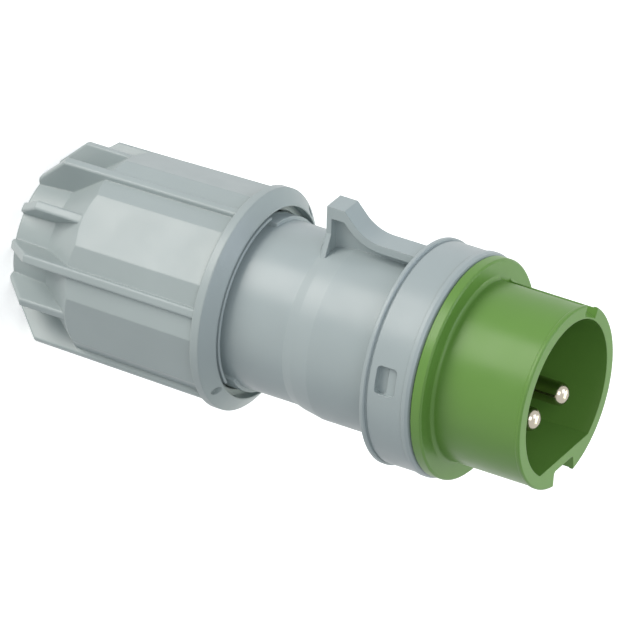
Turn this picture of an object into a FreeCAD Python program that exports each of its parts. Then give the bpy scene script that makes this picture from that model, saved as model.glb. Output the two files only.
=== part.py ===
import FreeCAD, Part
import math
import os
import re

import Sketcher

# Pin and sleeve plug, two contacts, extra-low voltage, with a screwed cable gland.
# The plug stands on the rear face of its gland nut: +Z runs along the plug to the pins,
# the latch hump looks to -X and the large keyway of the shroud to +X.
# Lengths are in millimetres and angles in degrees, counted from +X about +Z.
DIMENSIONS = (
    # Shroud, the part that enters the socket
    ("shroud_radius", 21.75, "outer radius of the shroud"),
    ("shroud_wall", 2.85, "wall of the shroud"),
    ("shroud_length", 23.25, "carrier flange to rim"),
    ("shroud_foot", 0.9, "fillet at the foot of the shroud"),
    ("rim_bead", 0.25, "bead round the rim"),
    ("rim_bead_width", 1.2, "length of that bead"),
    ("rim_bevel", 0.3, "bevel of the rim"),
    ("major_key_depth", 4.15, "depth of the large keyway"),
    ("major_key_half", 4.8, "half width of the large keyway at the outside"),
    ("major_key_floor_half", 4.4, "half width of its floor"),
    ("major_key_round", 0.9, "rounding of its floor corners"),
    ("major_key_wall", 2.4, "wall between the large keyway and the flat inside the shroud"),
    ("minor_key_angle", 150.0, "place of the small keyway"),
    ("minor_key_width", 5.9, "width of the small keyway"),
    ("minor_key_depth", 1.5, "depth of the small keyway"),
    ("minor_key_slope", 2.5, "length of its sloped end at the rim"),
    ("minor_key_slope_drop", 1.05, "drop of that sloped end"),
    # Contact carrier behind the shroud
    ("flange_inset", 0.2, "carrier flange inside the collar's outline"),
    ("flange_width", 2.65, "thickness of the carrier flange"),
    ("flange_bevel", 0.4, "bevel of the flange's front edge"),
    ("flange_gap", 0.35, "dark gap between housing and carrier flange"),
    ("seat_inset", 1.35, "that gap's depth"),
    ("carrier_step", 0.15, "step from the shroud to the part inside the collar"),
    ("carrier_gap", 0.3, "gap between carrier and housing"),
    ("carrier_floor", 9.75, "depth of the floor below the collar's front face"),
    ("carrier_base", 4.5, "thickness of the carrier's base"),
    ("carrier_shoulder", 1.5, "part of the base that carries the shroud"),
    # Bayonet
    ("bayonet_count", 3, "lugs of the bayonet, and windows of the collar"),
    ("bayonet_width", 8.0, "width of a bayonet lug"),
    ("bayonet_thickness", 3.0, "length of a bayonet lug"),
    ("bayonet_reach", 1.9, "height of a lug"),
    ("bayonet_angle", 75.0, "place of the first lug when locked"),
    ("bayonet_turn", 30.0, "turn from the entry slot to the locked place"),
    ("bayonet_channel", 6.0, "length of the channel in the housing"),
    ("bayonet_lip", 4.25, "front wall of the channel"),
    ("bayonet_play", 0.15, "play of the lugs in their channel"),
    ("bayonet_side_play", 0.6, "play beside a lug in its entry slot"),
    # Collar of the housing
    ("collar_wall", 2.95, "wall outside the bayonet channel"),
    ("collar_length", 12.91, "length of the collar"),
    ("collar_step", 1.36, "thickness of the step inside the collar"),
    ("rear_ring_height", 0.5, "height of the ring at the rear of the collar"),
    ("rear_ring_width", 1.26, "length of the rear ring"),
    ("front_ring_height", 0.35, "height of the ring at the front of the collar"),
    ("front_ring_width", 2.05, "length of the front ring"),
    ("front_ring_slope", 0.75, "steep part of the front ring's rounded edge"),
    ("front_ring_nose", 0.3, "shallow part of that edge"),
    ("valley_depth", 0.25, "groove in front of the rear ring"),
    ("valley_width", 0.6, "width of that groove"),
    ("small_bevel", 0.25, "bevel of small outer edges"),
    ("window_angle", 16.0, "place of the first window"),
    ("window_width", 6.8, "width of a window"),
    ("window_length", 5.2, "length of a window"),
    ("window_setback", 2.2, "wall between the rear ring and a window"),
    ("window_depth", 1.2, "depth of a window"),
    ("window_step", 0.7, "extra depth of its rear half"),
    ("window_corner", 1.0, "corner radius of a window"),
    # Barrel, neck and spigot of the housing
    ("housing_wall", 2.6, "wall of the housing"),
    ("barrel_length", 17.14, "length of the barrel"),
    ("flare_length", 7.3, "length of the flare from neck to barrel"),
    ("knee_length", 2.6, "length of the flare's steep part"),
    ("knee_step", 0.8, "knee of the flare below the barrel"),
    ("neck_step", 1.5, "neck below the barrel"),
    ("neck_length", 15.6, "length of the neck"),
    ("stop_flange_width", 2.5, "thickness of the flange in the nut's mouth"),
    ("stop_flange_inset", 2.2, "how far its rear face lies inside the mouth"),
    ("stop_flange_gap", 0.65, "gap between that flange and the mouth"),
    ("stop_flange_lip", 0.55, "thin lip round the flange"),
    ("stop_flange_groove", 1.6, "groove between that lip and the neck"),
    ("notch_start", 124.0, "where the first of the flange's two notches begins"),
    ("notch_sweep", 55.0, "angle of a notch"),
    ("notch_pad", 0.9, "height of the pad that fills a notch, above the neck"),
    ("notch_pad_front", 1.3, "front end of that pad past the flange"),
    ("thread_gap", 0.75, "gap between the nut's bore and the spigot's core"),
    ("spigot_setback", 3.25, "spigot's end in front of the nut's cone"),
    ("shelf_thickness", 2.5, "inner shelf that the seal is pressed against"),
    ("shelf_hole", 12.0, "radius of the hole in that shelf"),
    # Latch hump of the housing
    ("hump_width", 6.0, "width of the hump"),
    ("hump_web", 1.2, "thickness of the web inside the hump"),
    ("hump_rise", 10.5, "height of the hump above the barrel"),
    ("hump_setback", 0.8, "rear face of the hump past the end of the neck"),
    ("hump_top", 4.7, "length of the hump's flat top"),
    ("hump_slope", 48.0, "angle of the slope in front of the top"),
    ("hump_curve", 10.0, "radius in which the slope runs out"),
    ("hump_tail", 4.45, "height of the strap above the barrel"),
    ("hump_strap", 2.1, "thickness of the strap"),
    ("hump_rear_wall", 1.3, "thickness of the hump's rear wall"),
    ("hump_top_wall", 3.0, "thickness of the hump's top"),
    ("hump_rear_height", 6.9, "height of the straight part of the rear face"),
    ("hump_foot", 1.4, "flare of the rear face at its foot"),
    # Gland nut, outside
    ("nut_length", 59.5, "rear face to mouth"),
    ("nut_ring_step", 0.25, "nut's ring outside the collar's outline"),
    ("nut_ring_height", 0.95, "height of the ring behind the mouth"),
    ("nut_ring_width", 2.3, "length of that ring"),
    ("nut_bevel_length", 2.8, "bevel from the ring to the mouth"),
    ("nut_mouth_land", 0.3, "flat left round the mouth"),
    ("nut_draft", 0.8, "taper of the nut's body from ring to shoulder"),
    ("nut_cone_spare", 0.1, "shoulder's cone outside the corners of the flats"),
    ("nut_shoulder_rear", 9.3, "height of the shoulder's narrow end"),
    ("nut_shoulder_length", 10.9, "length of the shoulder"),
    ("nut_neck_draft", 0.8, "taper of the rear neck"),
    ("nut_sides", 12, "number of flats, each with a rib"),
    ("nut_angle", 13.5, "how far the nut is turned"),
    ("rib_thickness", 2.3, "thickness of each grip rib"),
    ("rib_round", 0.55, "rounding along the ribs"),
    ("rib_foot_step", 1.7, "rib ends at the rear face above the neck"),
    ("short_rib_setback", 1.2, "front end of a short rib behind the shoulder's wide end"),
    ("long_rib_drop", 0.6, "long rib below the ring"),
    ("short_rib_drop", 1.25, "short rib below the body's corners"),
    ("dimple_angle", 110.5, "place of the first of two dimples in the bevel"),
    ("dimple_inset", 2.1, "middle of a dimple inside the ring"),
    ("dimple_radius", 1.1, "radius of a dimple"),
    ("dimple_depth", 2.3, "floor of a dimple below the mouth"),
    # Gland nut, inside
    ("nut_wall", 2.75, "least wall outside the thread"),
    ("nut_mouth_step", 1.56, "mouth outside the thread's bore"),
    ("nut_mouth_depth", 2.6, "depth of the mouth"),
    ("nut_cone_drop", 7.9, "cone that presses the clamp fingers, in radius"),
    ("nut_cone_length", 10.25, "length of that cone"),
    ("nut_seat_wall", 3.25, "wall round the seat of the slip ring"),
    ("nut_seat_depth", 7.3, "depth of that seat"),
    ("nut_rear_wall", 3.2, "end wall round the cable hole"),
    ("cable_hole_radius", 9.5, "cable hole in the end wall"),
    # Cable clamp and seal
    ("slip_ring_thickness", 2.0, "washer that the clamp fingers slide on"),
    ("slip_ring_width", 3.8, "radial width of the washer"),
    ("running_gap", 0.15, "gap between the washer and the nut"),
    ("finger_count", 8, "fingers of the clamp basket"),
    ("finger_gap", 2.4, "slot between two fingers"),
    ("finger_wall", 2.2, "thickness of a finger"),
    ("finger_inset", 0.5, "fingers inside the basket's boss"),
    ("finger_root", 1.0, "ring left between the slots and the flange"),
    ("finger_bend", 1.0, "bend inside the fingers past the slip ring's seat"),
    ("basket_flange", 1.5, "flange on the end of the spigot"),
    ("basket_boss", 0.8, "part of the basket inside the spigot"),
    ("basket_clearance", 0.3, "gap round the clamp basket"),
    ("seal_length", 9.2, "length of the rubber cable seal"),
    ("seal_bore", 7.5, "radius of the seal's bore"),
    ("seal_clearance", 0.3, "gap round the rubber seal"),
    ("seal_groove", 0.9, "tear-out groove of the seal"),
    # Contact pins and terminals
    ("pin_radius", 2.8, "contact pin"),
    ("pin_seat_step", 0.3, "thicker part of the pin inside the base"),
    ("pin_edge", 2.3, "rounding of the pin's tip"),
    ("pin_recess", 3.4, "tip below the rim"),
    ("pin_forward", 4.0, "pins towards the large keyway"),
    ("pin_apart", 6.71, "pins to each side"),
    ("pin_clearance", 0.1, "gap round the pins in the carrier"),
    ("terminal_radius", 4.2, "pillar terminal"),
    ("terminal_length", 14.0, "length of a terminal"),
    ("wire_hole_radius", 2.1, "hole for the wire"),
    ("wire_hole_depth", 9.0, "depth of the wire hole"),
    ("tower_wall", 1.3, "wall of the tower round a terminal"),
    ("tower_web", 2.4, "web between the towers"),
    ("screw_radius", 1.7, "thread of the terminal screw"),
    ("screw_height", 4.5, "screw above the rear end of the terminal"),
    ("screw_length", 3.9, "length of the terminal screw"),
    ("screw_depth", 1.5, "tip of the screw from the terminal's axis"),
    ("screw_point", 0.4, "bevel of the screw's tip"),
    ("screw_fit", 0.05, "gap round the screw in its thread"),
    ("screw_slot_width", 0.7, "slot of the screw"),
    ("screw_slot_depth", 0.9, "depth of that slot"),
    ("screw_access", 2.2, "radius of the screwdriver's hole in the tower"),
    ("plate_thickness", 2.0, "plate that locks the pins in"),
    ("plate_inset", 1.0, "plate's middle inside its ends"),
    ("plate_hole", 2.6, "radius of a wire hole in the plate"),
)

# Sizes and heights that follow from the dimensions. Heights count from the nut's rear face.
PLACES = {
    # Radii, from the shroud outwards and then back along the plug
    "shroud_bore": "shroud_radius - shroud_wall",
    "bead_radius": "shroud_radius + rim_bead",
    "key_floor": "shroud_radius - major_key_depth",
    "key_pad": "key_floor - major_key_wall",
    "key_mouth": "shroud_radius + 2 * shroud_foot",
    "key_draft": "(major_key_half - major_key_floor_half) / major_key_depth",
    "key_mouth_half": "major_key_half + 2 * shroud_foot * key_draft",
    "minor_key_floor": "shroud_radius - minor_key_depth",
    "carrier_radius": "shroud_radius - carrier_step",
    "collar_bore": "carrier_radius + carrier_gap",
    "channel_radius": "collar_bore + bayonet_reach",
    "collar_radius": "channel_radius + collar_wall",
    "rear_ring_radius": "collar_radius + rear_ring_height",
    "front_ring_radius": "collar_radius + front_ring_height",
    "flange_radius": "collar_radius - flange_inset",
    "seat_radius": "flange_radius - seat_inset",
    "barrel_radius": "collar_bore",
    "barrel_bore": "barrel_radius - housing_wall",
    "plug_radius": "barrel_bore - carrier_gap",
    "knee_radius": "barrel_radius - knee_step",
    "neck_radius": "barrel_radius - neck_step",
    "spigot_bore": "neck_radius - housing_wall",
    "nut_ring_radius": "collar_radius + nut_ring_step",
    "nut_corner_front": "nut_ring_radius - nut_ring_height",
    "nut_corner_rear": "nut_corner_front - nut_draft",
    "nut_flat_front": "nut_corner_front * cos(180 / nut_sides)",
    "nut_flat_rear": "nut_corner_rear * cos(180 / nut_sides)",
    "nut_thread_radius": "nut_flat_rear - nut_wall",
    "nut_mouth_radius": "nut_thread_radius + nut_mouth_step",
    "nut_seat_radius": "nut_thread_radius - nut_cone_drop",
    "nut_neck_front": "nut_seat_radius + nut_seat_wall",
    "nut_neck_rear": "nut_neck_front - nut_neck_draft",
    "rib_foot": "nut_neck_rear + rib_foot_step",
    "long_rib_front": "nut_ring_radius - long_rib_drop",
    "long_rib_rear": "long_rib_front - nut_draft",
    "short_rib_top": "nut_corner_rear - short_rib_drop",
    "rib_root_rear": "nut_seat_radius / 2 + nut_neck_rear / 2",
    "rib_root_front": "nut_thread_radius / 2 + nut_flat_rear / 2",
    "dimple_place": "nut_ring_radius - dimple_inset",
    "spigot_radius": "nut_thread_radius - thread_gap",
    "stop_flange_radius": "nut_mouth_radius - stop_flange_gap",
    "slip_ring_radius": "nut_seat_radius - running_gap",
    "slip_ring_bore": "slip_ring_radius - slip_ring_width",
    "basket_radius": "spigot_bore - basket_clearance",
    "finger_tip": "nut_seat_radius - basket_clearance",
    "finger_base": "basket_radius - finger_inset",
    "seal_radius": "spigot_bore - seal_clearance",
    "pin_seat_radius": "pin_radius + pin_seat_step",
    "terminal_bore": "terminal_radius + pin_clearance",
    "tower_radius": "terminal_bore + tower_wall",
    # Heights, from the nut to the rim
    "nut_ring_front": "nut_length - nut_bevel_length",
    "nut_ring_rear": "nut_ring_front - nut_ring_width",
    "nut_shoulder_front": "nut_shoulder_rear + nut_shoulder_length",
    "nut_seat_front": "nut_rear_wall + nut_seat_depth",
    "nut_cone_front": "nut_seat_front + nut_cone_length",
    "slip_ring_rear": "nut_rear_wall + running_gap",
    "slip_ring_front": "slip_ring_rear + slip_ring_thickness",
    "finger_end": "slip_ring_front + basket_clearance",
    "spigot_rear": "nut_cone_front + spigot_setback",
    "basket_rear": "spigot_rear - basket_flange",
    "seal_rear": "spigot_rear + basket_boss",
    "shelf_rear": "seal_rear + seal_length",
    "shelf_front": "shelf_rear + shelf_thickness",
    "stop_flange_rear": "nut_length - stop_flange_inset",
    "neck_rear": "stop_flange_rear + stop_flange_width",
    "neck_front": "neck_rear + neck_length",
    "knee_front": "neck_front + knee_length",
    "barrel_rear": "neck_front + flare_length",
    "collar_rear": "barrel_rear + barrel_length",
    "rear_ring_front": "collar_rear + rear_ring_width",
    "window_rear": "rear_ring_front + window_setback",
    "window_front": "window_rear + window_length",
    "window_reach": "window_depth + window_step + rear_ring_height",
    "collar_front": "collar_rear + collar_length",
    "front_ring_rear": "collar_front - front_ring_width",
    "step_front": "collar_rear + collar_step",
    "channel_front": "collar_front - bayonet_lip",
    "channel_rear": "channel_front - bayonet_channel",
    "lug_front": "channel_front - bayonet_play",
    "lug_rear": "lug_front - bayonet_thickness",
    "floor_height": "collar_front - carrier_floor",
    "shoulder_rear": "floor_height - carrier_shoulder",
    "base_rear": "floor_height - carrier_base",
    "tower_rear": "base_rear - terminal_length",
    "plate_rear": "tower_rear - plate_thickness",
    "screw_level": "tower_rear + screw_height",
    "flange_rear": "collar_front + flange_gap",
    "flange_front": "flange_rear + flange_width",
    "rim": "flange_front + shroud_length",
    "bead_rear": "rim - rim_bead_width",
    "pin_tip": "rim - pin_recess",
    # Outline of the latch hump, as distances from the axis and heights
    "hump_rear": "neck_front + hump_setback",
    "hump_top_front": "hump_rear + hump_top",
    "hump_height": "barrel_radius + hump_rise",
    "strap_height": "barrel_radius + hump_tail",
    "slope_drop": "hump_height - strap_height",
    "curve_reach": "hump_curve * tan(hump_slope / 2)",
    "curve_front": "hump_top_front + slope_drop / tan(hump_slope) + curve_reach",
    "curve_rear": "curve_front - curve_reach * (1 + cos(hump_slope))",
    "curve_height": "strap_height + curve_reach * sin(hump_slope)",
    "inner_curve_rear": "curve_rear - hump_strap * sin(hump_slope)",
    "inner_curve_height": "curve_height - hump_strap * cos(hump_slope)",
    "inner_top": "hump_height - hump_top_wall",
    "inner_slope": "inner_curve_rear - (inner_top - inner_curve_height) / tan(hump_slope)",
}
NEAR = 0.02  # how close an edge lies to the place it is looked for

doc = FreeCAD.newDocument("pin_and_sleeve_plug")
sheet = doc.addObject("Spreadsheet::Sheet", "dims")
for row, (alias, number, note) in enumerate(DIMENSIONS, 1):
    sheet.set("A%d" % row, note)
    sheet.set("B%d" % row, str(number))
    sheet.setAlias("B%d" % row, alias)
doc.recompute()

ALIASES = {alias for alias, _, _ in DIMENSIONS}
WORD = re.compile(r"\b[a-z_]+\b")


def bound(text):
    """An expression of dimensions and places, as one that reads the sheet alone."""
    def spell_out(word):
        name = word.group()
        if name in PLACES:
            return "(" + bound(PLACES[name]) + ")"
        return "dims." + name if name in ALIASES else name

    return WORD.sub(spell_out, text)


def value(text):
    """The number that an expression gives."""
    return float(sheet.evalExpression(bound(text)))


def new_body(name):
    """A body of the document with the piece's own name."""
    body = doc.addObject("PartDesign::Body", name)
    body.Label = name
    return body


def origin_part(body, role):
    """A plane or axis of the body's own origin."""
    return [part for part in body.Origin.OriginFeatures if part.Role == role][0]


def flat_sketch(body, name, height):
    """A sketch across the plug's axis at a height."""
    sketch = body.newObject("Sketcher::SketchObject", name)
    sketch.AttachmentSupport = (origin_part(body, "XY_Plane"), [""])
    sketch.MapMode = "FlatFace"
    sketch.setExpression("AttachmentOffset.Base.z", bound(height))
    return sketch


def upright_sketch(body, name, role, angle):
    """A sketch on an upright plane that is turned about the plug's axis."""
    sketch = body.newObject("Sketcher::SketchObject", name)
    sketch.AttachmentSupport = (origin_part(body, role), [""])
    sketch.MapMode = "FlatFace"
    if angle != "0":
        turn = FreeCAD.Rotation(FreeCAD.Vector(0, 1, 0), value(angle))
        sketch.AttachmentOffset = FreeCAD.Placement(FreeCAD.Vector(), turn)
        sketch.setExpression("AttachmentOffset.Rotation.Angle", bound(angle))
    return sketch


def side_sketch(body, name, angle="0"):
    """A sketch through the axis: across is the radius towards the angle, up is the height."""
    return upright_sketch(body, name, "XZ_Plane", angle)


def facing_sketch(body, name, angle, out):
    """A sketch that faces outwards at an angle, at a distance from the axis."""
    sketch = upright_sketch(body, name, "YZ_Plane", angle)
    sketch.setExpression("AttachmentOffset.Base.x", bound("(%s) * sin(%s)" % (out, angle)))
    sketch.setExpression("AttachmentOffset.Base.z", bound("(%s) * cos(%s)" % (out, angle)))
    return sketch


def held(sketch, text, kind, *ends):
    """A constraint that takes its number from an expression."""
    index = sketch.addConstraint(Sketcher.Constraint(kind, *ends, value(text)))
    sketch.setExpression("Constraints[%d]" % index, bound(text))


def pin_down(sketch, line, end, across, up):
    """Hold one end of a line at a place that the dimensions give."""
    for kind, axis, text in (("DistanceX", -2, across), ("DistanceY", -1, up)):
        if text == "0":
            sketch.addConstraint(Sketcher.Constraint("PointOnObject", line, end, axis))
        else:
            held(sketch, text, kind, -1, 1, line, end)


def arc_between(start, end, radius, clockwise):
    """The short arc of a circle between two points."""
    chord = end - start
    rise = math.sqrt(radius ** 2 - (chord.Length / 2) ** 2)
    left = FreeCAD.Vector(-chord.y, chord.x, 0).normalize()
    centre = start + chord / 2 + left * (-rise if clockwise else rise)
    angles = [math.atan2(point.y - centre.y, point.x - centre.x) for point in (start, end)]
    if clockwise:
        angles.reverse()
    return Part.ArcOfCircle(Part.Circle(centre, FreeCAD.Vector(0, 0, 1), radius), *angles)


def outline(sketch, points):
    """A closed outline through points given as expressions.

    A third item makes the line to the next point an arc of that radius, which bends to the
    left, or to the right if there is a minus sign before it.
    """
    corners = [FreeCAD.Vector(value(point[0]), value(point[1]), 0) for point in points]
    first_ends = []
    for index, point in enumerate(points):
        start = corners[index]
        end = corners[(index + 1) % len(corners)]
        clockwise = len(point) == 3 and point[2].startswith("-")
        if len(point) == 3:
            radius = point[2].lstrip("-")
            sketch.addGeometry(arc_between(start, end, value(radius), clockwise), False)
        else:
            sketch.addGeometry(Part.LineSegment(start, end), False)
        first_ends.append(2 if clockwise else 1)
    for index, first in enumerate(first_ends):
        after = (index + 1) % len(points)
        rule = Sketcher.Constraint("Coincident", index, 3 - first, after, first_ends[after])
        sketch.addConstraint(rule)
    for index, point in enumerate(points):
        pin_down(sketch, index, first_ends[index], point[0], point[1])
        if len(point) == 3:
            held(sketch, point[2].lstrip("-"), "Radius", index)
    return sketch


def box_outline(sketch, left, right, low, high):
    """A rectangle between two places across and two places up."""
    return outline(sketch, [(left, low), (right, low), (right, high), (left, high)])


def circles(sketch, centres, radius):
    """Circles of one radius round points given as expressions."""
    for index, (across, up) in enumerate(centres):
        centre = FreeCAD.Vector(value(across), value(up), 0)
        sketch.addGeometry(Part.Circle(centre, FreeCAD.Vector(0, 0, 1), value(radius)), False)
        held(sketch, radius, "Radius", index)
        pin_down(sketch, index, 3, across, up)
    return sketch


def turned(body, name, points, kind="PartDesign::Revolution", start="0", sweep="360"):
    """A revolved solid, or a groove, from an outline of radii and heights."""
    sketch = outline(side_sketch(body, name + "_profile", start), points)
    feature = body.newObject(kind, name)
    feature.Profile = sketch
    feature.ReferenceAxis = (origin_part(body, "Z_Axis"), [""])
    feature.setExpression("Angle", bound(sweep))
    doc.recompute()
    return feature


def extruded(body, name, sketch, length, kind="PartDesign::Pad", middle=False, reverse=False):
    """A pad or a pocket of a sketch."""
    before = body.Shape.Volume if body.Tip and not body.Shape.isNull() else 0
    feature = body.newObject(kind, name)
    feature.Profile = sketch
    feature.Midplane = middle
    feature.Reversed = reverse
    feature.setExpression("Length", bound(length))
    doc.recompute()
    change = body.Shape.Volume - before
    wanted = change > 0 if kind.endswith("Pad") else change < 0
    if not wanted:
        raise RuntimeError("%s leaves %s as it was" % (name, body.Label))
    return feature


def sunk(body, name, sketch, length):
    """A pocket that runs from its sketch along the sketch's own normal."""
    return extruded(body, name, sketch, length, kind="PartDesign::Pocket", reverse=True)


def ribbed(body, name, sketch, thickness):
    """A pad centred on its sketch, such as a rib."""
    return extruded(body, name, sketch, thickness, middle=True)


def slotted(body, name, sketch, width):
    """A pocket centred on its sketch, such as a slot."""
    return extruded(body, name, sketch, width, kind="PartDesign::Pocket", middle=True)


def repeated(body, feature, count):
    """Copies of a feature round the plug's axis."""
    pattern = body.newObject("PartDesign::PolarPattern", feature.Name + "_copies")
    pattern.Originals = [feature]
    pattern.Axis = (origin_part(body, "Z_Axis"), [""])
    pattern.Angle = 360
    pattern.setExpression("Occurrences", bound(count))
    body.Tip = pattern
    doc.recompute()
    return pattern


def circle_edges(shape, radius, height):
    """The round edges at one radius and height."""
    names = []
    for number, edge in enumerate(shape.Edges, 1):
        curve = edge.Curve
        if not isinstance(curve, Part.Circle):
            continue
        off_radius = abs(curve.Radius - value(radius))
        off_height = abs(curve.Center.z - value(height))
        if off_radius < NEAR and off_height < NEAR:
            names.append("Edge%d" % number)
    return names


def rounded(body, name, edges, radius):
    """A fillet on edges of the body as it stands."""
    if not edges:
        raise RuntimeError("%s finds no edge on %s" % (name, body.Label))
    base = body.Tip
    feature = body.newObject("PartDesign::Fillet", name)
    feature.Base = (base, edges)
    feature.setExpression("Radius", bound(radius))
    doc.recompute()
    return feature


def rising_edges(shape, chosen):
    """The straight edges that rise along the plug and have both ends chosen."""
    names = []
    for number, edge in enumerate(shape.Edges, 1):
        if not isinstance(edge.Curve, Part.Line):
            continue
        ends = [vertex.Point for vertex in edge.Vertexes]
        if abs(ends[0].z - ends[-1].z) > NEAR and all(chosen(end) for end in ends):
            names.append("Edge%d" % number)
    return names


def gland_nut():
    """Screwed nut: a drafted twelve-sided body with long and short grip ribs."""
    body = new_body("gland_nut")
    turned(body, "shell", [
        ("nut_neck_rear", "0"),
        ("nut_neck_front", "nut_shoulder_rear"),
        ("nut_corner_rear + nut_cone_spare", "nut_shoulder_front"),
        ("nut_corner_front + nut_cone_spare", "nut_ring_rear"),
        ("nut_ring_radius - small_bevel", "nut_ring_rear"),
        ("nut_ring_radius", "nut_ring_rear + small_bevel"),
        ("nut_ring_radius", "nut_ring_front"),
        ("nut_mouth_radius + nut_mouth_land", "nut_length"),
        ("nut_mouth_radius", "nut_length"),
        ("nut_mouth_radius", "nut_length - nut_mouth_depth"),
        ("nut_thread_radius", "nut_length - nut_mouth_depth"),
        ("nut_thread_radius", "nut_cone_front"),
        ("nut_seat_radius", "nut_seat_front"),
        ("nut_seat_radius", "nut_rear_wall"),
        ("cable_hole_radius", "nut_rear_wall"),
        ("cable_hole_radius", "0"),
    ])
    flat = side_sketch(body, "flat_profile")
    outline(flat, [
        ("nut_flat_rear", "nut_shoulder_rear"),
        ("nut_ring_radius", "nut_shoulder_rear"),
        ("nut_ring_radius", "nut_ring_rear"),
        ("nut_flat_front", "nut_ring_rear"),
        ("nut_flat_rear", "nut_shoulder_front"),
    ])
    side = slotted(body, "flat", flat, "2 * nut_ring_radius * tan(180 / nut_sides)")
    repeated(body, side, "nut_sides")
    long_rib = side_sketch(body, "long_rib_profile")
    outline(long_rib, [
        ("rib_root_rear", "0"),
        ("rib_foot", "0"),
        ("long_rib_rear", "long_rib_rear - rib_foot"),
        ("long_rib_front", "nut_ring_rear"),
        ("rib_root_front", "nut_ring_rear"),
        ("rib_root_front", "nut_cone_front"),
        ("rib_root_rear", "nut_seat_front"),
    ])
    repeated(body, ribbed(body, "long_rib", long_rib, "rib_thickness"), "nut_sides / 2")
    short_rib = side_sketch(body, "short_rib_profile", "360 / nut_sides")
    outline(short_rib, [
        ("rib_root_rear", "0"),
        ("rib_foot", "0"),
        ("short_rib_top", "short_rib_top - rib_foot"),
        ("short_rib_top", "nut_shoulder_front - short_rib_setback"),
        ("rib_root_front", "nut_cone_front"),
        ("rib_root_rear", "nut_seat_front"),
    ])
    repeated(body, ribbed(body, "short_rib", short_rib, "rib_thickness"), "nut_sides / 2")
    rounded(body, "rib_round", rib_edges(body.Shape), "rib_round")
    dimple = flat_sketch(body, "dimple_profile", "nut_length - dimple_depth")
    middle = ("dimple_place * cos(dimple_angle)", "dimple_place * sin(dimple_angle)")
    circles(dimple, [middle], "dimple_radius")
    repeated(body, sunk(body, "dimple", dimple, "dimple_depth"), "2")
    turn_about_axis(body, "nut_angle")
    return body


def rib_edges(shape):
    """The edges along the tops of the nut's ribs, long and short in turn."""
    step = 360 / value("nut_sides")
    half = value("rib_thickness / 2")
    foot = value("rib_foot")
    short_top = value("short_rib_top")
    long_rear = value("long_rib_rear")
    draft = value("nut_draft / (nut_ring_rear - long_rib_rear + rib_foot)")

    def on_top(point):
        turn = round(math.degrees(math.atan2(point.y, point.x)) / step)
        angle = math.radians(turn * step)
        out = point.x * math.cos(angle) + point.y * math.sin(angle)
        aside = abs(point.y * math.cos(angle) - point.x * math.sin(angle))
        top = short_top if turn % 2 else long_rear + draft * (point.z - long_rear + foot)
        return abs(aside - half) < NEAR and abs(out - min(foot + point.z, top)) < NEAR

    return rising_edges(shape, on_top)


def turn_about_axis(body, angle):
    """Turn a whole body about the plug's axis."""
    turn = FreeCAD.Rotation(FreeCAD.Vector(0, 0, 1), value(angle))
    body.Placement = FreeCAD.Placement(FreeCAD.Vector(), turn)
    body.setExpression("Placement.Rotation.Angle", bound(angle))


def slip_ring():
    """Plastic washer between the nut's end wall and the clamp fingers."""
    body = new_body("slip_ring")
    turned(body, "ring", ring_section("slip_ring_bore", "slip_ring_radius",
                                      "slip_ring_rear", "slip_ring_front"))
    return body


def ring_section(bore, radius, low, high):
    """Rectangular section of a plain ring."""
    return [(bore, low), (radius, low), (radius, high), (bore, high)]


def clamp_basket():
    """Cable clamp: a flanged ring with fingers that the nut's cone presses in."""
    body = new_body("clamp_basket")
    turned(body, "cone", [
        ("finger_tip - finger_wall", "finger_end"),
        ("finger_tip", "finger_end"),
        ("finger_tip", "nut_seat_front"),
        ("finger_base", "basket_rear"),
        ("spigot_radius", "basket_rear"),
        ("spigot_radius", "spigot_rear"),
        ("basket_radius", "spigot_rear"),
        ("basket_radius", "seal_rear"),
        ("finger_base - finger_wall", "seal_rear"),
        ("finger_base - finger_wall", "basket_rear"),
        ("finger_tip - finger_wall", "nut_seat_front + finger_bend"),
    ])
    slot = side_sketch(body, "finger_slot_profile")
    box_outline(slot, "seal_bore", "spigot_radius", "slip_ring_front", "basket_rear - finger_root")
    repeated(body, slotted(body, "finger_slot", slot, "finger_gap"), "finger_count")
    return body


def gland_seal():
    """Rubber cable seal with two tear-out grooves in its rear face."""
    body = new_body("gland_seal")
    turned(body, "plug", ring_section("seal_bore", "seal_radius", "seal_rear", "shelf_rear"))
    for count in (1, 2):
        left = "seal_bore + (seal_radius - seal_bore) * %d / 3" % count
        section = ring_section(left, left + " + seal_groove", "seal_rear", "seal_rear + seal_groove")
        turned(body, "tear_groove_%d" % count, section, kind="PartDesign::Groove")
    return body


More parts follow.
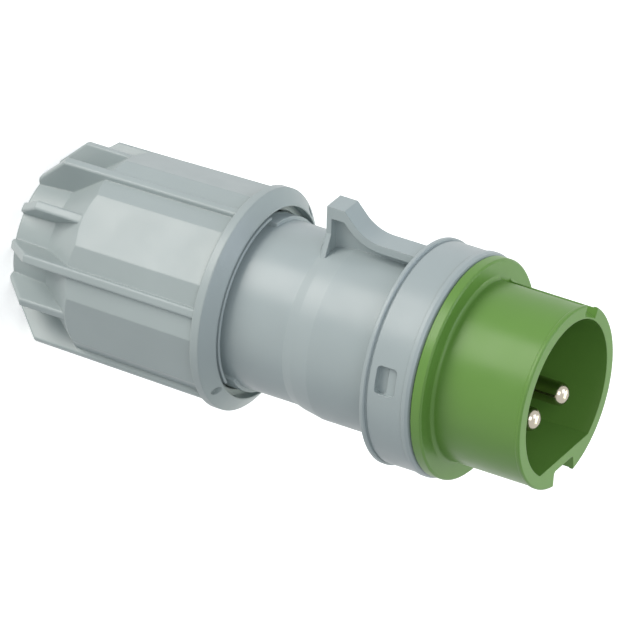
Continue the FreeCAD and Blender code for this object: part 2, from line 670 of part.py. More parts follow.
def housing():
    """Grey housing: threaded spigot, neck, barrel, collar with windows, and latch hump."""
    body = new_body("housing")
    turned(body, "shell", [
        ("spigot_bore", "spigot_rear"),
        ("spigot_radius", "spigot_rear"),
        ("spigot_radius", "stop_flange_rear"),
        ("stop_flange_radius", "stop_flange_rear"),
        ("stop_flange_radius", "neck_rear - small_bevel"),
        ("stop_flange_radius - small_bevel", "neck_rear"),
        ("stop_flange_radius - stop_flange_lip", "neck_rear"),
        ("stop_flange_radius - stop_flange_lip", "neck_rear - stop_flange_groove"),
        ("neck_radius", "neck_rear - stop_flange_groove"),
        ("neck_radius", "neck_front"),
        ("knee_radius", "knee_front"),
        ("barrel_radius", "barrel_rear"),
        ("barrel_radius", "collar_rear"),
        ("rear_ring_radius - small_bevel", "collar_rear"),
        ("rear_ring_radius", "collar_rear + small_bevel"),
        ("rear_ring_radius", "rear_ring_front - small_bevel"),
        ("rear_ring_radius - small_bevel", "rear_ring_front"),
        ("collar_radius - valley_depth", "rear_ring_front"),
        ("collar_radius - valley_depth", "rear_ring_front + valley_width - valley_depth"),
        ("collar_radius", "rear_ring_front + valley_width"),
        ("collar_radius", "front_ring_rear"),
        ("front_ring_radius", "front_ring_rear"),
        ("front_ring_radius", "collar_front - front_ring_slope - front_ring_nose"),
        ("front_ring_radius - front_ring_nose", "collar_front - front_ring_nose"),
        ("front_ring_radius - front_ring_nose - front_ring_slope", "collar_front"),
        ("collar_bore", "collar_front"),
        ("collar_bore", "channel_front"),
        ("channel_radius", "channel_front"),
        ("channel_radius", "channel_rear"),
        ("collar_bore", "channel_rear"),
        ("collar_bore", "step_front"),
        ("barrel_bore", "step_front"),
        ("barrel_bore", "barrel_rear"),
        ("spigot_bore", "neck_front"),
        ("spigot_bore", "shelf_front"),
        ("shelf_hole", "shelf_front"),
        ("shelf_hole", "shelf_rear"),
        ("spigot_bore", "shelf_rear"),
    ])
    flange_notches(body)
    latch_hump(body)
    windows(body)
    entry = side_sketch(body, "entry_profile", "bayonet_angle - bayonet_turn")
    box_outline(entry, "barrel_bore", "channel_radius", "channel_front", "collar_front")
    repeated(body, slotted(body, "entry", entry, "bayonet_width + bayonet_side_play"), "bayonet_count")
    return body


def flange_notches(body):
    """Two notches in the flange at the nut's mouth, each filled by a low pad on the neck."""
    section = ring_section("spigot_radius", "nut_mouth_radius", "stop_flange_rear", "neck_rear")
    notch = turned(body, "notch", section, kind="PartDesign::Groove",
                   start="notch_start", sweep="notch_sweep")
    repeated(body, notch, "2")
    section = ring_section("spigot_bore / 2 + neck_radius / 2", "neck_radius + notch_pad",
                           "stop_flange_rear", "neck_rear + notch_pad_front")
    pad = turned(body, "notch_pad", section, start="notch_start", sweep="notch_sweep")
    repeated(body, pad, "2")


def latch_hump(body):
    """The catch for the socket's lid: a strap with a thin web under it."""
    middle = "barrel_bore / 2 + barrel_radius / 2"
    neck_middle = "spigot_bore / 2 + neck_radius / 2"
    front = "collar_rear + rear_ring_width / 2"
    outer = [
        (neck_middle, "hump_rear - hump_foot"),
        ("neck_radius", "hump_rear - hump_foot"),
        ("hump_height - hump_rear_height", "hump_rear"),
        ("hump_height", "hump_rear"),
        ("hump_height", "hump_top_front"),
        ("curve_height", "curve_rear", "-hump_curve"),
        ("strap_height", "curve_front"),
        ("strap_height", front),
    ]
    inner = [
        ("strap_height - hump_strap", front),
        ("strap_height - hump_strap", "curve_front", "hump_curve + hump_strap"),
        ("inner_curve_height", "inner_curve_rear"),
        ("inner_top", "inner_slope"),
        ("inner_top", "hump_rear + hump_rear_wall"),
        (neck_middle, "hump_rear + hump_rear_wall"),
    ]
    strap = outline(side_sketch(body, "strap_profile", "180"), outer + inner)
    ribbed(body, "strap", strap, "hump_width")
    web = outline(side_sketch(body, "web_profile", "180"), outer + [(middle, front), (middle, "barrel_rear")])
    ribbed(body, "web", web, "hump_web")


def windows(body):
    """Blind windows round the collar, each with a deeper rear half."""
    for name, depth, front in (
        ("window", "window_depth", "window_front"),
        ("window_step", "window_depth + window_step", "window_rear / 2 + window_front / 2"),
    ):
        sketch = facing_sketch(body, name + "_profile", "window_angle", "collar_radius - (%s)" % depth)
        rounded_box_outline(sketch, "window_width / 2", "window_rear", front, "window_corner")
        cut = sunk(body, name, sketch, "window_reach")
        repeated(body, cut, "bayonet_count")


def rounded_box_outline(sketch, half, low, high, radius):
    """A rectangle with round corners, centred across."""
    wide = value(half)
    foot = value(low)
    head = value(high)
    bend = value(radius)
    quarter = math.pi / 2
    corners = (
        (wide - bend, foot + bend, -quarter, 0),
        (wide - bend, head - bend, 0, quarter),
        (bend - wide, head - bend, quarter, 2 * quarter),
        (bend - wide, foot + bend, 2 * quarter, 3 * quarter),
    )
    ends = []
    for across, up, begin, end in corners:
        circle = Part.Circle(FreeCAD.Vector(across, up, 0), FreeCAD.Vector(0, 0, 1), bend)
        arc = Part.ArcOfCircle(circle, begin, end)
        sketch.addGeometry(arc, False)
        ends.append((arc.StartPoint, arc.EndPoint))
    count = len(corners)
    for index in range(count):
        following = (index + 1) % count
        sketch.addGeometry(Part.LineSegment(ends[index][1], ends[following][0]), False)
        line = count + index
        sketch.addConstraint(Sketcher.Constraint("Tangent", index, 2, line, 1))
        sketch.addConstraint(Sketcher.Constraint("Tangent", line, 2, following, 1))
        sketch.addConstraint(Sketcher.Constraint("Horizontal" if index % 2 else "Vertical", line))
        if index:
            sketch.addConstraint(Sketcher.Constraint("Equal", 0, index))
    held(sketch, radius, "Radius", 0)
    held(sketch, half, "DistanceX", -1, 1, count, 1)
    held(sketch, high, "DistanceY", -1, 1, count + 1, 1)
    held(sketch, "0 - (%s)" % half, "DistanceX", -1, 1, count + 2, 1)
    held(sketch, low, "DistanceY", -1, 1, count + 3, 1)
    return sketch


def contact_carrier():
    """Green contact carrier: shroud with keyways, flange, bayonet lugs and terminal towers."""
    body = new_body("contact_carrier")
    turned(body, "shell", [
        ("0", "base_rear"),
        ("plug_radius", "base_rear"),
        ("plug_radius", "shoulder_rear"),
        ("carrier_radius", "shoulder_rear"),
        ("carrier_radius", "collar_front"),
        ("seat_radius", "collar_front"),
        ("seat_radius", "flange_rear"),
        ("flange_radius", "flange_rear"),
        ("flange_radius", "flange_front - flange_bevel"),
        ("flange_radius - flange_bevel", "flange_front"),
        ("shroud_radius", "flange_front"),
        ("shroud_radius", "bead_rear"),
        ("bead_radius", "bead_rear + rim_bead"),
        ("bead_radius", "rim - rim_bevel"),
        ("bead_radius - rim_bevel", "rim"),
        ("shroud_bore", "rim"),
        ("shroud_bore", "floor_height"),
        ("0", "floor_height"),
    ])
    rounded(body, "foot_round", circle_edges(body.Shape, "shroud_radius", "flange_front"), "shroud_foot")
    pad = chord_outline(flat_sketch(body, "key_pad_profile", "floor_height"), "key_pad",
                        "shroud_radius / 2 + shroud_bore / 2")
    extruded(body, "key_pad", pad, "rim - floor_height")
    keyways(body)
    lug = side_sketch(body, "lug_profile", "bayonet_angle")
    box_outline(lug, "carrier_radius / 2 + shroud_bore / 2", "carrier_radius + bayonet_reach",
                "lug_rear", "lug_front")
    repeated(body, ribbed(body, "lug", lug, "bayonet_width"), "bayonet_count")
    towers(body)
    return body


def chord_outline(sketch, chord, radius):
    """A segment of a circle beyond an upright chord."""
    reach = math.acos(value(chord) / value(radius))
    circle = Part.Circle(FreeCAD.Vector(), FreeCAD.Vector(0, 0, 1), value(radius))
    arc = Part.ArcOfCircle(circle, -reach, reach)
    sketch.addGeometry(arc, False)
    sketch.addGeometry(Part.LineSegment(arc.EndPoint, arc.StartPoint), False)
    sketch.addConstraint(Sketcher.Constraint("Coincident", 0, 2, 1, 1))
    sketch.addConstraint(Sketcher.Constraint("Coincident", 1, 2, 0, 1))
    sketch.addConstraint(Sketcher.Constraint("Coincident", 0, 3, -1, 1))
    sketch.addConstraint(Sketcher.Constraint("Vertical", 1))
    held(sketch, radius, "Radius", 0)
    held(sketch, chord, "DistanceX", -1, 1, 1, 1)
    return sketch


def keyways(body):
    """The large keyway towards +X and the small one that codes the voltage."""
    major = outline(flat_sketch(body, "major_key_profile", "flange_front"), [
        ("key_floor", "0 - major_key_floor_half"),
        ("key_mouth", "0 - key_mouth_half"),
        ("key_mouth", "key_mouth_half"),
        ("key_floor", "major_key_floor_half"),
    ])
    sunk(body, "major_key", major, "shroud_length")

    def in_corner(point):
        depth_off = abs(point.x - value("key_floor"))
        side_off = abs(abs(point.y) - value("major_key_floor_half"))
        return depth_off < NEAR and side_off < NEAR

    rounded(body, "major_key_round", rising_edges(body.Shape, in_corner), "major_key_round")
    minor = outline(side_sketch(body, "minor_key_profile", "minor_key_angle"), [
        ("minor_key_floor", "flange_front"),
        ("key_mouth", "flange_front"),
        ("key_mouth", "rim"),
        ("minor_key_floor - minor_key_slope_drop", "rim"),
        ("minor_key_floor", "rim - minor_key_slope"),
    ])
    slotted(body, "minor_key", minor, "minor_key_width")


def pair(sketch, radius):
    """Two circles round the places of the contacts."""
    return circles(sketch, [("pin_forward", "pin_apart"), ("pin_forward", "0 - pin_apart")], radius)


def towers(body):
    """Two joined towers behind the base that hold the terminals."""
    ends = pair(flat_sketch(body, "tower_profile", "tower_rear"), "tower_radius")
    extruded(body, "tower", ends, "terminal_length")
    web = box_outline(flat_sketch(body, "tower_web_profile", "tower_rear"),
                      "pin_forward - tower_web / 2", "pin_forward + tower_web / 2",
                      "0 - pin_apart", "pin_apart")
    extruded(body, "tower_web", web, "terminal_length")
    bore = pair(flat_sketch(body, "terminal_bore_profile", "tower_rear"), "terminal_bore")
    sunk(body, "terminal_bore", bore, "terminal_length")
    seat = pair(flat_sketch(body, "pin_seat_profile", "base_rear"), "pin_seat_radius + pin_clearance")
    sunk(body, "pin_seat", seat, "carrier_base")
    for side, angle, across in (("left", "90", "0 - pin_forward"), ("right", "270", "pin_forward")):
        hole = facing_sketch(body, "access_%s_profile" % side, angle, "pin_apart")
        circles(hole, [(across, "screw_level")], "screw_access")
        sunk(body, "access_" + side, hole, "tower_radius + tower_wall")


def contact_pin(side, sign):
    """Nickel-plated brass pin with its pillar terminal, turned from one bar."""
    body = new_body("contact_pin_" + side)
    turned(body, "bar", [
        ("0", "tower_rear"),
        ("terminal_radius", "tower_rear"),
        ("terminal_radius", "base_rear"),
        ("pin_seat_radius", "base_rear"),
        ("pin_seat_radius", "floor_height"),
        ("pin_radius", "floor_height"),
        ("pin_radius", "pin_tip - pin_edge", "pin_edge"),
        ("pin_radius - pin_edge", "pin_tip"),
        ("0", "pin_tip"),
    ])
    wire = circles(flat_sketch(body, "wire_hole_profile", "tower_rear"), [("0", "0")], "wire_hole_radius")
    sunk(body, "wire_hole", wire, "wire_hole_depth")
    thread = facing_sketch(body, "screw_hole_profile", "90", "0")
    circles(thread, [("0", "screw_level")], "screw_radius + screw_fit")
    sunk(body, "screw_hole", thread, "tower_radius")
    turn = FreeCAD.Rotation(FreeCAD.Vector(0, 0, 1), 0 if sign > 0 else 180)
    body.Placement = FreeCAD.Placement(FreeCAD.Vector(), turn)
    body.setExpression("Placement.Base.x", bound("pin_forward"))
    body.setExpression("Placement.Base.y", bound("%d * pin_apart" % sign))
    return body


def terminal_screw(side, sign):
    """Slotted grub screw that clamps the wire in its terminal."""
    body = new_body("terminal_screw_" + side)
    turned(body, "stud", [
        ("0", "0"),
        ("screw_radius - screw_point", "0"),
        ("screw_radius", "screw_point"),
        ("screw_radius", "screw_length"),
        ("0", "screw_length"),
    ])
    slot = box_outline(side_sketch(body, "slot_profile"), "0 - screw_radius", "screw_radius",
                       "screw_length - screw_slot_depth", "screw_length")
    slotted(body, "slot", slot, "screw_slot_width")
    turn = FreeCAD.Rotation(FreeCAD.Vector(1, 0, 0), -90 * sign)
    body.Placement = FreeCAD.Placement(FreeCAD.Vector(), turn)
    body.setExpression("Placement.Base.x", bound("pin_forward"))
    body.setExpression("Placement.Base.y", bound("%d * (pin_apart + screw_depth)" % sign))
    body.setExpression("Placement.Base.z", bound("screw_level"))
    return body


def pin_lock_plate():
    """Plate across both towers that keeps the pins from being pushed back."""
    body = new_body("pin_lock_plate")
    ends = pair(flat_sketch(body, "ends_profile", "plate_rear"), "tower_radius")
    extruded(body, "ends", ends, "plate_thickness")
    half = "tower_radius - plate_inset"
    bridge = box_outline(flat_sketch(body, "bridge_profile", "plate_rear"),
                         "pin_forward - (%s)" % half, "pin_forward + %s" % half,
                         "0 - pin_apart", "pin_apart")
    extruded(body, "bridge", bridge, "plate_thickness")
    hole = pair(flat_sketch(body, "wire_way_profile", "plate_rear"), "plate_hole")
    sunk(body, "wire_way", hole, "plate_thickness")
    return body


nodes = [
    housing(),
    contact_carrier(),
    pin_lock_plate(),
    contact_pin("left", 1),
    contact_pin("right", -1),
    terminal_screw("left", 1),
    terminal_screw("right", -1),
    gland_seal(),
    clamp_basket(),
    slip_ring(),
    gland_nut(),
]
doc.recompute()

for part in doc.Objects:
    if "Invalid" in part.State or "Error" in part.State:
        raise RuntimeError("%s did not build: %s" % (part.Name, part.State))
for node in nodes:
    if node.Shape.isNull() or not node.Shape.isValid() or len(node.Shape.Solids) != 1:
        raise RuntimeError("%s is not one sound solid" % node.Label)

os.makedirs("parts", exist_ok=True)
for node in nodes:
    node.Shape.exportStep("parts/%s.step" % node.Label)
    print(node.Label, round(node.Shape.Volume, 1), "mm3")
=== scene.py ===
import math

import bmesh
import bpy
from mathutils import Matrix, Vector


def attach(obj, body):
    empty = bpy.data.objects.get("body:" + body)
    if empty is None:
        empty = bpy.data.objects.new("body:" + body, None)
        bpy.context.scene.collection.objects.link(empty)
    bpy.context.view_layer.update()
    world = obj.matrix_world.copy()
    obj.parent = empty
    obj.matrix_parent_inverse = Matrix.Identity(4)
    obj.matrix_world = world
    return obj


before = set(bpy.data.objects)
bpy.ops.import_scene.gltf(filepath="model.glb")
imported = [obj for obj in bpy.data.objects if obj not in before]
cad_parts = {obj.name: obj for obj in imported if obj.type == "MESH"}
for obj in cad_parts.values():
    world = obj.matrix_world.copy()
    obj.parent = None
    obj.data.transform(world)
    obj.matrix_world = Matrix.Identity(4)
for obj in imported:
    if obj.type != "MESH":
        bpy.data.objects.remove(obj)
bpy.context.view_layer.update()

# The plug stands on the rear face of its gland nut: +Z runs to the pins, -X to the latch hump.
# The photograph shows it lying down with the hump on top, so the camera is rolled to match.
MM = 0.001

# Camera of the photograph, fitted to the rim, the rings and the ribs
PHOTO_SIZE = 640
FOCAL_PIXELS = 10235.2
TARGET_HEIGHT = 79.0 * MM
TARGET_PIXEL = (340.43, 325.62)
CAMERA_DISTANCE = 2.3656
CAMERA_TURN = math.radians(60.464)
CAMERA_RISE = math.radians(30.404)
CAMERA_ROLL = math.radians(1.787)
SENSOR = 36.0
CLIP_START = 0.1
CLIP_END = 20

# Light: an even surround, a soft box whose glint runs along the barrel, a wide fill from the
# side, and three boxes before the pins. A strength is the box's own brightness.
WHITE = (1.0, 1.0, 1.0)
WORLD_LIGHT = 0.365
WORLD_TINT = (0.90, 1.0, 1.08)
FLOOR_SIZE = 6
FLOOR_DROP = 0.2 * MM
FLOOR_PAPER = (0.8, 0.8, 0.8)
FLOOR_GRAIN = 3.0
FLOOR_CLOUDING = (0.99, 1.01)
FLOOR_ROUGHNESS = 0.9
FLOOR_GLOW = 0.62
LAMP_DISTANCE = 2.5
# Name, direction from the plug, size across and along it, strength, tint
SOFT_BOXES = (
    ("key", (-0.735, -0.355, -0.577), (1.7, 1.4), 5.6, (1.04, 1.0, 0.95)),
    ("fill", (0.2, -0.9, -0.35), (2.5, 2.5), 0.26, (1.1, 1.0, 0.8)),
    ("front", (-0.40, 0.23, 0.885), (1.3, 1.3), 2.0, (0.95, 1.0, 1.2)),
    ("far", (0.2, 0.5, 0.84), (1.6, 1.6), 2.6, (0.95, 1.0, 0.8)),
    ("side", (-0.50, -0.60, 0.62), (1.2, 1.2), 2.9, (1.0, 1.0, 1.0)),
)

# Colours and roughness of the materials
HOUSING_GREY = (0.380, 0.437, 0.443)
HOUSING_ROUGHNESS = 0.34
NUT_GREY = (0.385, 0.439, 0.438)
NUT_ROUGHNESS = 0.35
NUT_EDGE = 0.6 * MM
GREEN = (0.135, 0.287, 0.053)
GREEN_ROUGHNESS = 0.32
GREEN_GLOSS = 1.42
SEAL_BLACK = (0.022, 0.022, 0.023)
SEAL_ROUGHNESS = 0.65
SEAL_RELIEF = 0.3
NATURAL = (0.60, 0.60, 0.55)
NATURAL_ROUGHNESS = 0.42
NICKEL = (0.52, 0.475, 0.39)
NICKEL_ROUGHNESS = 0.17
STEEL = (0.56, 0.56, 0.57)
STEEL_ROUGHNESS = 0.3

# Noise. A grain is a number of grains to the metre, and the range is the part of the noise that
# is spread over a colour's clouding or a roughness.
NOISE_DETAIL = 2.0
NOISE_LOW = 0.3
NOISE_HIGH = 0.7

# Samples of a soft edge
EDGE_SAMPLES = 6

# Moulded plastic: clouding of the colour, patches of other roughness, relief of the mould
CLOUD_GRAIN = 45.0
CLOUD_DETAIL = 3.0
CLOUDING = (0.965, 1.03)
PATCH_GRAIN = 160.0
PATCH_SMOOTHER = 0.04
PATCH_ROUGHER = 0.05
MOULD_GRAIN = 5200.0
MOULD_DETAIL = 1.0
MOULD_RELIEF = 0.12
MOULD_DEPTH = 0.02 * MM
MOULD_EDGE = 0.3 * MM
PLASTIC_GLOSS = 1.5

# Metal: clouding of the colour, smears of other roughness, marks of the lathe
METAL_GRAIN = 300.0
METAL_CLOUDING = (0.97, 1.02)
SMEAR_GRAIN = 700.0
SMEAR_SMOOTHER = 0.02
SMEAR_ROUGHER = 0.03
MARK_GRAIN_ACROSS = 200.0
MARK_GRAIN_ALONG = 9000.0
MARK_DETAIL = 1.0
MARK_RELIEF = 0.04
MARK_DEPTH = 0.01 * MM
METAL_EDGE = 0.1 * MM

# Thread between spigot and nut: two right-handed ridges, each in the other's gap. The steps are
# those of one turn, and the run-out is a part of a turn.
THREAD_PITCH = 4.0 * MM
THREAD_FOOT_HALF = 0.95 * MM
THREAD_CREST_HALF = 0.4 * MM
THREAD_STEPS = 72
THREAD_RUN_OUT = 0.15
SPIGOT_CORE = 20.8 * MM
SPIGOT_CREST = 21.42 * MM
SPIGOT_THREAD = (27.0 * MM, 56.0 * MM)
NUT_BORE = 21.75 * MM
NUT_CREST = 21.0 * MM
NUT_THREAD = (29.0 * MM, 56.0 * MM)

# Foot of the hump's rear wall, which spreads sideways on the housing. Corners on one side, as
# distance from the axis, distance aside and height, in mm: crown, foot on the wall, outer foot.
FOOT_REAR = ((25.5, 2.9, 76.2), (19.9, 2.9, 74.8), (19.7, 5.65, 76.2))
FOOT_FRONT = ((25.5, 2.9, 77.5), (20.5, 2.9, 77.5), (20.0, 5.65, 77.5))


def photo_camera():
    """The camera at the photograph's viewing angle."""
    level = math.cos(CAMERA_RISE)
    towards = Vector((
        -math.sin(CAMERA_RISE),
        -level * math.sin(CAMERA_TURN),
        level * math.cos(CAMERA_TURN),
    ))
    hump = Vector((-1, 0, 0))
    level_right = (-towards).cross(hump).normalized()
    level_up = level_right.cross(-towards)
    right = level_right * math.cos(CAMERA_ROLL) + level_up * math.sin(CAMERA_ROLL)
    up = level_up * math.cos(CAMERA_ROLL) - level_right * math.sin(CAMERA_ROLL)
    target = Vector((0, 0, TARGET_HEIGHT))
    middle = PHOTO_SIZE / 2
    aside = (TARGET_PIXEL[0] - middle) / FOCAL_PIXELS * CAMERA_DISTANCE
    below = (TARGET_PIXEL[1] - middle) / FOCAL_PIXELS * CAMERA_DISTANCE
    place = target + towards * CAMERA_DISTANCE
    aim = target - right * aside + up * below
    back = (place - aim).normalized()
    right = up.cross(back).normalized()
    up = back.cross(right)
    data = bpy.data.cameras.new("camera")
    data.sensor_width = SENSOR
    data.lens = FOCAL_PIXELS / PHOTO_SIZE * SENSOR
    data.clip_start = CLIP_START
    data.clip_end = CLIP_END
    camera = bpy.data.objects.new("camera", data)
    bpy.context.collection.objects.link(camera)
    axes = Matrix((right, up, back)).transposed().to_4x4()
    camera.matrix_world = Matrix.Translation(place) @ axes
    bpy.context.scene.camera = camera


class Shader:
    """Small helper to lay out a material's nodes."""

    def __init__(self, name):
        self.material = bpy.data.materials.new(name)
        self.material.use_nodes = True
        self.nodes = self.material.node_tree.nodes
        self.links = self.material.node_tree.links
        self.surface = self.nodes["Principled BSDF"]
        self.place = self.node("ShaderNodeTexCoord").outputs["Object"]

    def node(self, kind, **settings):
        made = self.nodes.new(kind)
        for key, setting in settings.items():
            setattr(made, key, setting)
        return made

    def link(self, source, target):
        self.links.new(source, target)

    def noise(self, grain, detail=NOISE_DETAIL):
        """Even noise."""
        texture = self.node("ShaderNodeTexNoise")
        texture.inputs["Scale"].default_value = grain
        texture.inputs["Detail"].default_value = detail
        self.link(self.place, texture.inputs["Vector"])
        return texture.outputs["Fac"]

    def rings(self, across, along):
        """Noise that is finer along the plug than across it, as marks of the lathe are."""
        stretch = self.node("ShaderNodeMapping")
        stretch.inputs["Scale"].default_value = (across, across, along)
        self.link(self.place, stretch.inputs["Vector"])
        texture = self.node("ShaderNodeTexNoise")
        texture.inputs["Scale"].default_value = 1.0
        texture.inputs["Detail"].default_value = MARK_DETAIL
        self.link(stretch.outputs["Vector"], texture.inputs["Vector"])
        return texture.outputs["Fac"]

    def span(self, source, low, high):
        """The middle of the noise's range, spread between two numbers."""
        ramp = self.node("ShaderNodeMapRange")
        ramp.inputs["From Min"].default_value = NOISE_LOW
        ramp.inputs["From Max"].default_value = NOISE_HIGH
        ramp.inputs["To Min"].default_value = low
        ramp.inputs["To Max"].default_value = high
        self.link(source, ramp.inputs["Value"])
        return ramp.outputs["Result"]

    def tint(self, colour, source, low, high):
        """The colour times numbers between low and high, as the source goes."""
        mix = self.node("ShaderNodeMix", data_type="RGBA", blend_type="MULTIPLY")
        mix.inputs["Factor"].default_value = 1.0
        mix.inputs["A"].default_value = (*colour, 1)
        self.link(self.span(source, low, high), mix.inputs["B"])
        return mix.outputs["Result"]

    def bump(self, source, strength, height, under):
        """Relief from the source on top of the normal under it."""
        bump = self.node("ShaderNodeBump")
        bump.inputs["Strength"].default_value = strength
        bump.inputs["Distance"].default_value = height
        self.link(source, bump.inputs["Height"])
        self.link(under, bump.inputs["Normal"])
        return bump.outputs["Normal"]

    def soft_edges(self, radius):
        """A normal that rounds the edges off."""
        bevel = self.node("ShaderNodeBevel", samples=EDGE_SAMPLES)
        bevel.inputs["Radius"].default_value = radius
        return bevel.outputs["Normal"]


def moulded(name, colour, roughness, edge=MOULD_EDGE, relief=MOULD_RELIEF, gloss=PLASTIC_GLOSS):
    """Injection-moulded plastic: fine relief of the mould, slight flow clouding, soft edges."""
    shader = Shader(name)
    surface = shader.surface
    clouded = shader.tint(colour, shader.noise(CLOUD_GRAIN, CLOUD_DETAIL), *CLOUDING)
    shader.link(clouded, surface.inputs["Base Color"])
    patches = shader.noise(PATCH_GRAIN)
    patched = shader.span(patches, roughness - PATCH_SMOOTHER, roughness + PATCH_ROUGHER)
    shader.link(patched, surface.inputs["Roughness"])
    grain = shader.noise(MOULD_GRAIN, MOULD_DETAIL)
    grained = shader.bump(grain, relief, MOULD_DEPTH, shader.soft_edges(edge))
    shader.link(grained, surface.inputs["Normal"])
    surface.inputs["IOR"].default_value = gloss
    return shader.material


def plated(name, colour, roughness):
    """Plated or turned metal with faint marks of the lathe."""
    shader = Shader(name)
    surface = shader.surface
    surface.inputs["Metallic"].default_value = 1.0
    clouded = shader.tint(colour, shader.noise(METAL_GRAIN), *METAL_CLOUDING)
    shader.link(clouded, surface.inputs["Base Color"])
    smears = shader.noise(SMEAR_GRAIN)
    smeared = shader.span(smears, roughness - SMEAR_SMOOTHER, roughness + SMEAR_ROUGHER)
    shader.link(smeared, surface.inputs["Roughness"])
    marks = shader.rings(MARK_GRAIN_ACROSS, MARK_GRAIN_ALONG)
    marked = shader.bump(marks, MARK_RELIEF, MARK_DEPTH, shader.soft_edges(METAL_EDGE))
    shader.link(marked, surface.inputs["Normal"])
    return shader.material


def dress(material, *names):
    """Give nodes of the frame their material."""
    for name in names:
        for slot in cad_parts[name].material_slots:
            slot.material = material


def seen_directly(nodes, links):
    """1 for what the camera, a gloss or a glass sees, 0 for light that falls on a surface."""
    rays = nodes.new("ShaderNodeLightPath")
    seen = rays.outputs["Is Camera Ray"]
    for kind in ("Is Glossy Ray", "Is Transmission Ray"):
        either = nodes.new("ShaderNodeMath")
        either.operation = "MAXIMUM"
        links.new(seen, either.inputs[0])
        links.new(rays.outputs[kind], either.inputs[1])
        seen = either.outputs["Value"]
    return seen


def surround():
    """A white background that lights the object evenly at its own level."""
    world = bpy.data.worlds.new("studio")
    world.use_nodes = True
    bpy.context.scene.world = world
    nodes = world.node_tree.nodes
    links = world.node_tree.links
    mix = nodes.new("ShaderNodeMix")
    mix.data_type = "RGBA"
    mix.inputs["A"].default_value = (*[WORLD_LIGHT * part for part in WORLD_TINT], 1)
    mix.inputs["B"].default_value = (*WHITE, 1)
    links.new(seen_directly(nodes, links), mix.inputs["Factor"])
    links.new(mix.outputs["Result"], nodes["Background"].inputs["Color"])


def floor():
    """The floor under the nut's rear face. It shows white and keeps the object's shadow."""
    bpy.ops.mesh.primitive_plane_add(size=FLOOR_SIZE, location=(0, 0, -FLOOR_DROP))
    plane = bpy.context.object
    plane.name = "floor"
    shader = Shader("floor_white")
    surface = shader.surface
    surface.inputs["Roughness"].default_value = FLOOR_ROUGHNESS
    clouded = shader.tint(FLOOR_PAPER, shader.noise(FLOOR_GRAIN), *FLOOR_CLOUDING)
    shader.link(clouded, surface.inputs["Base Color"])
    surface.inputs["Emission Color"].default_value = (*WHITE, 1)
    lift = shader.node("ShaderNodeMapRange")
    lift.inputs["To Max"].default_value = FLOOR_GLOW
    shader.link(seen_directly(shader.nodes, shader.links), lift.inputs["Value"])
    shader.link(lift.outputs["Result"], surface.inputs["Emission Strength"])
    plane.data.materials.append(shader.material)
    plane.visible_diffuse = False
    plane.visible_glossy = False
    plane.visible_shadow = False


def soft_box(name, towards, size, strength, tint):
    """A soft box, its first side across the plug and its second one along it."""
    back = Vector(towards).normalized()
    across = Vector((0, 0, 1)).cross(back).normalized()
    along = back.cross(across)
    data = bpy.data.lights.new(name, "AREA")
    data.shape = "RECTANGLE"
    data.size, data.size_y = size
    data.color = tint
    data.energy = strength * math.pi * size[0] * size[1]
    light = bpy.data.objects.new(name, data)
    bpy.context.collection.objects.link(light)
    place = Vector((0, 0, TARGET_HEIGHT)) + back * LAMP_DISTANCE
    axes = Matrix((across, along, back)).transposed().to_4x4()
    light.matrix_world = Matrix.Translation(place) @ axes


def thread(name, material, body, foot, crest, reach, turned=0):
    """A ridge that winds up between two heights and runs out at both ends."""
    low, high = reach
    turns = (high - low) / THREAD_PITCH
    count = round(turns * THREAD_STEPS)
    mesh = bmesh.new()
    rows = []
    for step in range(count + 1):
        height = low + (high - low) * step / count
        angle = 2 * math.pi * height / THREAD_PITCH + turned
        spare = min(height - low, high - height) / THREAD_PITCH
        top = foot + (crest - foot) * min(1, spare / THREAD_RUN_OUT)
        section = (
            (foot, -THREAD_FOOT_HALF),
            (top, -THREAD_CREST_HALF),
            (top, THREAD_CREST_HALF),
            (foot, THREAD_FOOT_HALF),
        )
        row = []
        for radius, aside in section:
            place = (radius * math.cos(angle), radius * math.sin(angle), height + aside)
            row.append(mesh.verts.new(place))
        rows.append(row)
    for below, above in zip(rows, rows[1:]):
        for index in range(len(below)):
            after = (index + 1) % len(below)
            mesh.faces.new((below[index], above[index], above[after], below[after]))
    mesh.faces.new(rows[0])
    mesh.faces.new(rows[-1])
    added(name, mesh, material, body)


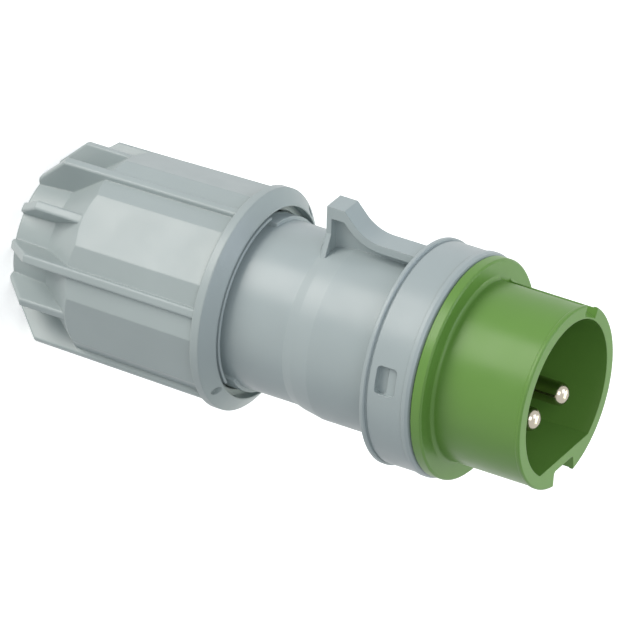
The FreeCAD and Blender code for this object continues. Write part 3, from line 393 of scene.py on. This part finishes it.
def hump_foot(name, material, side):
    """A gusset between the hump's rear wall and the housing. Side -1 is the camera's, 1 the far one."""
    mesh = bmesh.new()
    ends = []
    for corners in (FOOT_REAR, FOOT_FRONT):
        end = []
        for away, aside, height in corners:
            end.append(mesh.verts.new((-away * MM, side * aside * MM, height * MM)))
        mesh.faces.new(end)
        ends.append(end)
    rear, front = ends
    for index in range(len(rear)):
        after = (index + 1) % len(rear)
        mesh.faces.new((rear[index], front[index], front[after], rear[after]))
    added(name, mesh, material, "plug_body")


def added(name, mesh, material, body):
    """Put a finished mesh in the scene, riding on a body."""
    bmesh.ops.recalc_face_normals(mesh, faces=mesh.faces)
    data = bpy.data.meshes.new(name)
    mesh.to_mesh(data)
    mesh.free()
    data.materials.append(material)
    piece = bpy.data.objects.new(name, data)
    bpy.context.collection.objects.link(piece)
    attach(piece, body)


photo_camera()
surround()
floor()
for box in SOFT_BOXES:
    soft_box(*box)
bpy.context.scene.view_settings.view_transform = "Standard"

housing_grey = moulded("housing_grey", HOUSING_GREY, HOUSING_ROUGHNESS)
nut_grey = moulded("nut_grey", NUT_GREY, NUT_ROUGHNESS, edge=NUT_EDGE)
carrier_green = moulded("carrier_green", GREEN, GREEN_ROUGHNESS, gloss=GREEN_GLOSS)
seal_rubber = moulded("seal_rubber", SEAL_BLACK, SEAL_ROUGHNESS, relief=SEAL_RELIEF)
natural_plastic = moulded("natural_plastic", NATURAL, NATURAL_ROUGHNESS)
nickel = plated("nickel", NICKEL, NICKEL_ROUGHNESS)
steel = plated("steel", STEEL, STEEL_ROUGHNESS)

dress(housing_grey, "housing")
dress(nut_grey, "gland_nut")
dress(carrier_green, "contact_carrier", "pin_lock_plate")
dress(seal_rubber, "gland_seal")
dress(natural_plastic, "clamp_basket", "slip_ring")
dress(nickel, "contact_pin_left", "contact_pin_right")
dress(steel, "terminal_screw_left", "terminal_screw_right")
thread("spigot_thread", housing_grey, "plug_body",
       SPIGOT_CORE, SPIGOT_CREST, SPIGOT_THREAD)
thread("nut_thread", nut_grey, "gland_nut",
       NUT_BORE, NUT_CREST, NUT_THREAD, turned=math.pi)
hump_foot("hump_foot_near", housing_grey, -1)
hump_foot("hump_foot_far", housing_grey, 1)
